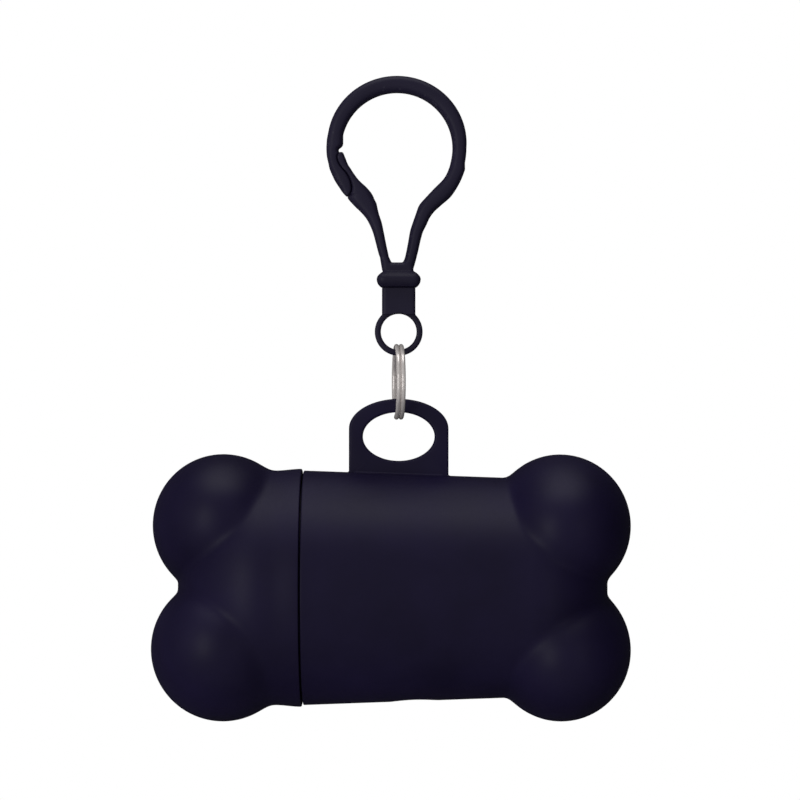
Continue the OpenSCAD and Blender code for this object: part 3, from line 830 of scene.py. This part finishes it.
def bone_cap(skin):
    """The smaller part of the bone, which slides over the neck and is turned a little on it."""
    sizes = bone_sizes(CAP_DEEP, CAP_DOME_BACK, CAP_DOME_LEN, CAP_LOBE_PAST, CAP_LOBE_W,
                       dome_r=TUBE_R, lip_h=LIP_H, rings=64)
    shell = bone_end("bone_cap", skin, sizes)
    bore_r = NECK_R + NECK_CLEARANCE
    seat = NECK_LEN - SEAM_GAP + NECK_END_GAP
    mouth = [(-EPS, bore_r + MOUTH_CHAMFER), (MOUTH_CHAMFER, bore_r), (seat, bore_r),
             (seat, CHAMBER_R)]
    combined(shell, hollow(CAP_DEEP, mouth, CAP_TAPER, CAP_POCKET), "DIFFERENCE")
    turned = Matrix.Rotation(math.radians(CAP_TURN), 4, "X") @ Matrix.Scale(-1, 4, (1, 0, 0))
    outward(shell, Matrix.Translation((CAP_RIM_X * MM, 0, BONE_Z * MM)) @ turned)
    return finished(shell, skin, "cap", "case_plastic", "end_cap", sharp=32)


def smooth(rungs, steps=RUNG_STEPS):
    """Smooth curve through rungs, with steps of them from one to the next."""
    p = np.asarray(rungs, float)
    p = np.vstack([2 * p[0] - p[1], p, 2 * p[-1] - p[-2]])
    made = []
    for i in range(1, len(p) - 2):
        a, b, c, d = p[i - 1:i + 3]
        for k in range(steps):
            t = k / steps
            made.append(0.5 * (2 * b + (c - a) * t + (2 * a - 5 * b + 4 * c - d) * t * t
                               + (3 * b - a - 3 * c + d) * t ** 3))
    return made + [p[-2]]


def bar_sections(rungs, corners=lambda k: (BOXY, BOXY), inset=lambda k: 0, sides=48):
    """Rounded boxy sections of the hook's bar, one across each rung. For the rung's number, corners
    gives the exponents of the section on its two sides, and inset how much smaller it is."""
    made = []
    for k, (x1, depth1, x2, depth2) in enumerate(rungs):
        less = inset(k)
        a = Vector((x1, BULB_Z - depth1))
        b = Vector((x2, BULB_Z - depth2))
        inward = (b - a).normalized() * less
        a, b = a + inward, b - inward
        ring = []
        for c, s in circle(1, sides):
            boxy = corners(k)[c > 0]
            across = math.copysign(abs(c) ** boxy, c)
            p = (a + b) / 2 + (b - a) / 2 * across
            y = (HOOK_DEPTH / 2 - less) * math.copysign(abs(s) ** boxy, s)
            ring.append((p.x, y, p.y))
        made.append(ring)
    return made


def bulb_rungs():
    """Rungs across the bar round the bulb, where it is wider at the top."""
    rungs = []
    for k in range(BULB_STEPS + 1):
        a = math.radians(BULB_FROM + (BULB_TO - BULB_FROM) * k / BULB_STEPS)
        c, s = math.cos(a), math.sin(a)
        up = max(0, s)
        outer = BULB_R + BAR_SIDE + (BAR_TOP - BAR_SIDE) * up * (2 - up)
        rungs.append((outer * c, -outer * s, BULB_R * c, -BULB_R * s))
    return rungs


def hook_collar():
    """Collar with a flat front and rounded corners, whose edge swells between its two faces."""
    steps = 10
    points = []
    for k in range(2 * steps + 1):
        t = 1 - k / steps
        less = (COLLAR_R - (COLLAR_FLAT_R if t > 0 else COLLAR_LOW_R)) * t * t
        z = COLLAR_Z + COLLAR_H * (t - 1) / 2
        outline = rounded_outline(COLLAR_R - less, COLLAR_HALF_DEPTH - less,
                                  COLLAR_CORNER_R - less)
        points += [(STEM_X + x, y, z) for x, y in outline]
    return wrapped("collar", points)


def hook_post():
    """Round post under the collar, with the barb that snaps into the swivel."""
    top = COLLAR_Z - COLLAR_H / 2
    profile = [(top, 0), (top, POST_R), (BARB_Z, POST_R), (BARB_Z, BARB_R),
               (BARB_Z - BARB_LAND, BARB_R), (BARB_END_Z, POST_R), (BARB_END_Z, 0)]
    return lathe("post", profile, SMALL_SIDES, centre=(STEM_X, 0, 0))


def hook_neck():
    """Neck from the two arms down to the collar."""
    front = HOOK_DEPTH / 2
    points = []
    for x in NECK_HEADS_X:
        for y, less in ((front, NECK_SOFT), (front - NECK_SOFT, 0), (NECK_SOFT - front, 0),
                        (-front, NECK_SOFT)):
            points += [(u, y, v) for u, v in circle(NECK_HEAD_R - less, 24, x, NECK_HEAD_Z)]
    foot = rounded_outline(COLLAR_FLAT_R - NECK_FOOT_INSET, front, NECK_FOOT_CORNER)
    points += [(STEM_X + x, y, COLLAR_Z) for x, y in foot]
    return wrapped("neck", points)


def gate_stub():
    """The hook's share of the gate's root, a little thinner at its top, where it is inside the gate."""
    steps = 6
    thinner = 0.12
    rungs = smooth(GATE_RUNGS[-3:], steps)
    return loft("stub", bar_sections(rungs, inset=lambda k: thinner * max(0, 1 - k / steps)))


def hook_body(skin):
    """Bar from the nose round the bulb to the neck, then neck, collar and barbed post."""
    lap = [(x1, d, x2 - LAP_GAP / 2, d) for d, x1, x2, _ in reversed(LAP_ROWS)]
    nose = [NOSE_TIP] + lap + NOSE_LIP
    rungs = smooth(nose) + bulb_rungs() + smooth(ARM_RUNGS)
    lapped = RUNG_STEPS * len(LAP_ROWS)
    bar = loft("hook_body", bar_sections(
        rungs, corners=lambda k: (BOXY, LAP_BOXY if k < lapped else BOXY)))
    moulded(bar, [hook_collar(), hook_post(), hook_neck(), gate_stub()], voxel=0.14, passes=6)
    return finished(bar, skin, "hook", "black_plastic", "hook_frame")


def hook_gate(skin):
    """The springy arm, one moulding with the hook: it bends at its root above the neck."""
    thinner = 0.2
    root_sections = 8
    tongue = [(x2 + LAP_GAP / 2, d, x3, d) for d, _, x2, x3 in LAP_ROWS]
    rungs = smooth(tongue + GATE_RUNGS)
    lapped = RUNG_STEPS * (len(LAP_ROWS) - 1)
    thins_from = len(rungs) - 1 - root_sections
    arm = loft("hook_gate", bar_sections(
        rungs, corners=lambda k: (LAP_BOXY if k < lapped else BOXY, BOXY),
        inset=lambda k: thinner * max(0, (k - thins_from) / root_sections)))
    plain_mesh(eased(arm, passes=2))
    finished(arm, skin, None, "black_plastic", "gate_arm")
    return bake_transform(arm)


def swivel_eyelet(skin):
    """Block with the bore for the post, and the round eye that grows out of it."""
    levels = ((BLOCK_Z, BLOCK_SOFT), (BLOCK_Z - BLOCK_SOFT / 3, BLOCK_SOFT / 3),
              (BLOCK_Z - BLOCK_SOFT, 0), (BLOCK_FOOT_Z, 0))
    rings = []
    for z, less in levels:
        outline = rounded_outline(BLOCK_R - less, BLOCK_HALF_DEPTH - less, BLOCK_CORNER - less)
        rings.append([(STEM_X + x, y, z) for x, y in outline])
    block = loft("swivel_eyelet", rings)

    bore = POST_R + SWIVEL_CLEARANCE
    cavity = BARB_R + SWIVEL_CLEARANCE
    shelf = BARB_Z + SWIVEL_GAP
    bottom = BARB_END_Z - SWIVEL_GAP
    top = BLOCK_Z + EPS
    profile = [(bottom, 0), (bottom, cavity), (shelf, cavity), (shelf, bore), (top, bore), (top, 0)]
    hole = lathe("hole", profile, SMALL_SIDES, centre=(STEM_X, 0, 0))
    outline = circle(BLOCK_CUT_R, SMALL_SIDES, STEM_X, EYE_Z)
    under = loft("under", [[(x, y, z) for x, z in outline]
                           for y in (-2 * BLOCK_HALF_DEPTH, 2 * BLOCK_HALF_DEPTH)])
    combined(block, [hole, under], "DIFFERENCE")

    wire = circle(EYE_WIRE / 2, 24, EYE_R + EYE_WIRE / 2)
    eye = lathe("eye", [(along, radius) for radius, along in wire], SMALL_SIDES, "Y",
                (STEM_X, 0, EYE_Z))
    moulded(block, [eye], voxel=0.08, passes=5)
    return finished(block, skin, "swivel", "black_plastic", "swivel_eye")


def split_ring_wire(skin):
    """Two turns of wire with the sloping step from one to the other, swept along their path."""
    sizes = {"Wire": RING_WIRE, "Mean radius": RING_R, "Pitch": RING_PITCH, "Points": 320}
    tree, size = geometry_tree("split_ring_coil", sizes)

    # The path, and how far round it each of its points is
    line = node(tree, "GeometryNodeCurvePrimitiveLine")
    line = node(tree, "GeometryNodeResampleCurve", {"Curve": line, "Count": size["Points"]})
    last = node(tree, MATH, [size["Points"], 1.0], operation="SUBTRACT")
    number = node(tree, "GeometryNodeInputIndex")
    share = node(tree, MATH, [number, last], operation="DIVIDE")
    swept = node(tree, MATH, [share, math.radians(RING_SWEEP)], operation="MULTIPLY")
    turn = node(tree, MATH, [swept, math.radians(RING_START)], operation="ADD")
    step = node(tree, RANGE, [swept, math.radians(RING_STEP_FROM), math.radians(RING_STEP_TO),
                              -0.5, 0.5], interpolation_type="SMOOTHSTEP")
    aside = node(tree, MATH, [step, size["Pitch"]], operation="MULTIPLY")
    out = node(tree, MATH, [turn], operation="COSINE")
    out = node(tree, MATH, [out, size["Mean radius"]], operation="MULTIPLY")
    up = node(tree, MATH, [turn], operation="SINE")
    up = node(tree, MATH, [up, size["Mean radius"]], operation="MULTIPLY")
    place = node(tree, JOIN, [aside, out, up])
    path = node(tree, "GeometryNodeSetPosition", {"Geometry": line, "Position": place})

    # Both attributes place the drawing lines of the wire's finish
    path = node(tree, "GeometryNodeStoreNamedAttribute",
                {"Geometry": path, "Name": "along", "Value": swept},
                data_type="FLOAT", domain="POINT")
    half_wire = node(tree, MATH, [size["Wire"], 0.5], operation="MULTIPLY")
    section = node(tree, "GeometryNodeCurvePrimitiveCircle",
                   {"Resolution": RING_SIDES, "Radius": half_wire})
    section = node(tree, "GeometryNodeStoreNamedAttribute",
                   {"Geometry": section, "Name": "around", "Value": number},
                   data_type="FLOAT", domain="POINT")
    wire = node(tree, "GeometryNodeCurveToMesh",
                {"Curve": path, "Profile Curve": section, "Fill Caps": True})
    ring = grown("split_ring_wire", tree, wire, skin, sizes)
    centre = Vector((STEM_X, 0, (RING_LOW.z + RING_HIGH.z) / 2)) * MM
    turned = Matrix.Rotation(math.radians(RING_TURN), 4, "Z")
    outward(ring, Matrix.Translation(centre) @ turned)
    return finished(ring, skin, "ring", "nickel_steel", "split_ring", sharp=50)


def film_roll(skin):
    """Bag film wound on the core: one strip along a spiral, drawn thicker than real film so that
    its turns show at the ends, where they stand a little uneven."""
    uneven_size = 2.2
    core_gap = 0.2
    outer_gap = 0.16
    end_gap = 0.4
    sizes = {"Film": 0.26, "First radius": CORE_R + core_gap, "Last radius": ROLL_R - outer_gap,
             "Length": ROLL_LEN - 2 * end_gap, "Unevenness": 0.3, "Turns": 19}
    tree, size = geometry_tree("wound_film", sizes)
    spiral = node(tree, "GeometryNodeCurveSpiral",
                  {"Resolution": 72, "Rotations": size["Turns"], "Height": 0.0,
                   "Start Radius": size["First radius"], "End Radius": size["Last radius"]})
    place = node(tree, "GeometryNodeInputPosition")
    rough = node(tree, NOISE, {"Vector": place, "Scale": 1 / (uneven_size * MM), "Detail": 1.0})
    rough = node(tree, MATH, [rough, 0.5], operation="SUBTRACT")
    uneven = node(tree, MATH, [rough, size["Unevenness"]], operation="MULTIPLY")
    shift = node(tree, JOIN, [0.0, 0.0, uneven])
    path = node(tree, "GeometryNodeSetPosition", {"Geometry": spiral, "Offset": shift})
    strip = node(tree, "GeometryNodeCurvePrimitiveQuadrilateral",
                 {"Width": size["Film"], "Height": size["Length"]})
    film = node(tree, "GeometryNodeCurveToMesh",
                {"Curve": path, "Profile Curve": strip, "Fill Caps": True})
    roll = grown("film_roll", tree, film, skin, sizes)
    middle = Matrix.Translation(Vector((ROLL_X, 0, ROLL_Z)) * MM)
    outward(roll, middle @ Matrix.Rotation(math.pi / 2, 4, "Y"))
    return finished(roll, skin, "roll", "bag_film", "bag_roll", sharp=40)


def camera():
    """The photograph's level view from the front."""
    right = (PHOTO_SIDE / 2 - ORIGIN_PIXEL[0]) * PIXEL
    down = (PHOTO_SIDE / 2 - ORIGIN_PIXEL[1]) * PIXEL
    data = bpy.data.cameras.new("camera")
    data.sensor_width = 36
    data.lens = data.sensor_width * CAMERA_AWAY / (PHOTO_SIDE * PIXEL)
    data.clip_start = 0.01
    data.clip_end = 20
    made = bpy.data.objects.new("camera", data)
    made.location = Vector((right, -CAMERA_AWAY, -down)) * MM
    made.rotation_euler = (math.pi / 2, 0, 0)
    bpy.context.scene.collection.objects.link(made)
    bpy.context.scene.camera = made


def softbox(name, place, aim, size, power):
    """A rectangular soft lamp turned to its aim, with its lengths in metres and power in watts."""
    data = bpy.data.lights.new(name, "AREA")
    data.shape = "RECTANGLE"
    data.size, data.size_y = size
    data.energy = power
    made = bpy.data.objects.new(name, data)
    made.location = place
    made.rotation_euler = (Vector(aim) - Vector(place)).to_track_quat("-Z", "Y").to_euler()
    made.visible_camera = False
    bpy.context.scene.collection.objects.link(made)


def studio():
    """White backdrop, light from all round and three plain lamps."""
    world = bpy.data.worlds.new("studio")
    bpy.context.scene.world = world
    world.use_nodes = True
    tree = world.node_tree
    tree.nodes.clear()
    ray = node(tree, "ShaderNodeLightPath")
    way = node(tree, SPLIT, [node(tree, PLACE).outputs["Generated"]])

    # What glossy surfaces mirror: bright overhead, faint in front, and dark elsewhere, as black
    # cards make it in a studio. Each range is of the direction's part along one axis, -1 to 1.
    front_glow = 0.24
    back_glow = 0.02
    overhead = node(tree, RANGE, [way.outputs["Z"], 0.75, 0.97, 0.0, 1.0], clamp=True)
    front = node(tree, RANGE, [way.outputs["Y"], -0.7, 0.1, front_glow, back_glow], clamp=True)
    mirrored = node(tree, MATH, [overhead, front], operation="MAXIMUM")

    # Soft light on everything, which falls off to the right and below
    left_light = 1.25
    right_light = 0.2
    low_light = 0.6
    left = node(tree, RANGE, [way.outputs["X"], -0.9, 0.9, left_light, right_light], clamp=True)
    above = node(tree, RANGE, [way.outputs["Z"], -1.0, 0.5, low_light, 1.0], clamp=True)
    soft = node(tree, MATH, [left, above], operation="MULTIPLY")

    # The camera sees plain white
    level = node(tree, MIX, [ray.outputs["Is Glossy Ray"], soft, mirrored], data_type="FLOAT")
    seen = node(tree, MATH, [ray.outputs["Is Camera Ray"], ray.outputs["Is Transmission Ray"]],
                operation="MAXIMUM")
    level = node(tree, MATH, [seen, level], operation="MAXIMUM")
    light = node(tree, "ShaderNodeBackground", {"Color": level, "Strength": 1.0})
    node(tree, "ShaderNodeOutputWorld", {"Surface": light})

    aim = (0, 0, -0.07)
    softbox("top_softbox", (0, -0.1, 0.55), aim, size=(0.55, 0.3), power=0.5)
    softbox("left_strip", (-0.46, -0.66, -0.05), aim, size=(0.2, 0.6), power=1.0)
    softbox("right_strip", (0.5, -0.62, -0.05), aim, size=(0.12, 0.6), power=0.15)


def floor():
    """Pale floor under the hanging object, which fades into the backdrop. Mirrors and the camera
    from below see through it."""
    drop = 70
    side = 200
    fades_from = 100
    gone_at = 170
    made, tree = blank_material("painted_board")
    place = node(tree, PLACE).outputs["Object"]
    level = node(tree, VECTOR, [place, (1, 1, 0)], operation="MULTIPLY")
    away = node(tree, VECTOR, [level], operation="LENGTH")
    unseen = node(tree, RANGE, [away, fades_from * MM, gone_at * MM, 0.0, 1.0],
                  interpolation_type="SMOOTHSTEP")
    mirror = node(tree, "ShaderNodeLightPath").outputs["Is Glossy Ray"]
    below = node(tree, "ShaderNodeNewGeometry").outputs["Backfacing"]
    for hides in (mirror, below):
        unseen = node(tree, MATH, [unseen, hides], operation="MAXIMUM")
    paint = node(tree, SHADER, {"Base Color": srgb("#f2f2f2"), "Roughness": 0.9})
    clear = node(tree, "ShaderNodeBsdfTransparent")
    shown = node(tree, "ShaderNodeMixShader", [unseen, paint, clear])
    node(tree, SURFACE, {"Surface": shown})

    low = CASE_LOW.z - drop
    corners = [(-side, -side, low), (side, -side, low), (side, side, low), (-side, side, low)]
    board = mesh_piece("floor", corners, [(0, 1, 2, 3)])
    board.data.materials.append(made)


def build():
    """All pieces of the dispenser. The core is the CAD node, which needs its finish alone."""
    case_skin = moulded_black("moulded_abs_satin", base="#130c2c", worn="#2d2838",
                              roughness=0.45, grain_size=0.3)
    hook_skin = moulded_black("moulded_acetal", base="#1f1b30", worn="#33303f",
                              roughness=0.45, grain_size=0.25)
    bone_case(case_skin)
    bone_cap(case_skin)
    hook_body(hook_skin)
    hook_gate(hook_skin)
    swivel_eyelet(hook_skin)
    split_ring_wire(nickel_steel())
    film_roll(bag_film())
    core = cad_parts["roll_core"]
    core.data.materials.clear()
    core.data.materials.append(core_board())


camera()
studio()
floor()
build()
bpy.context.scene.view_settings.view_transform = "Standard"
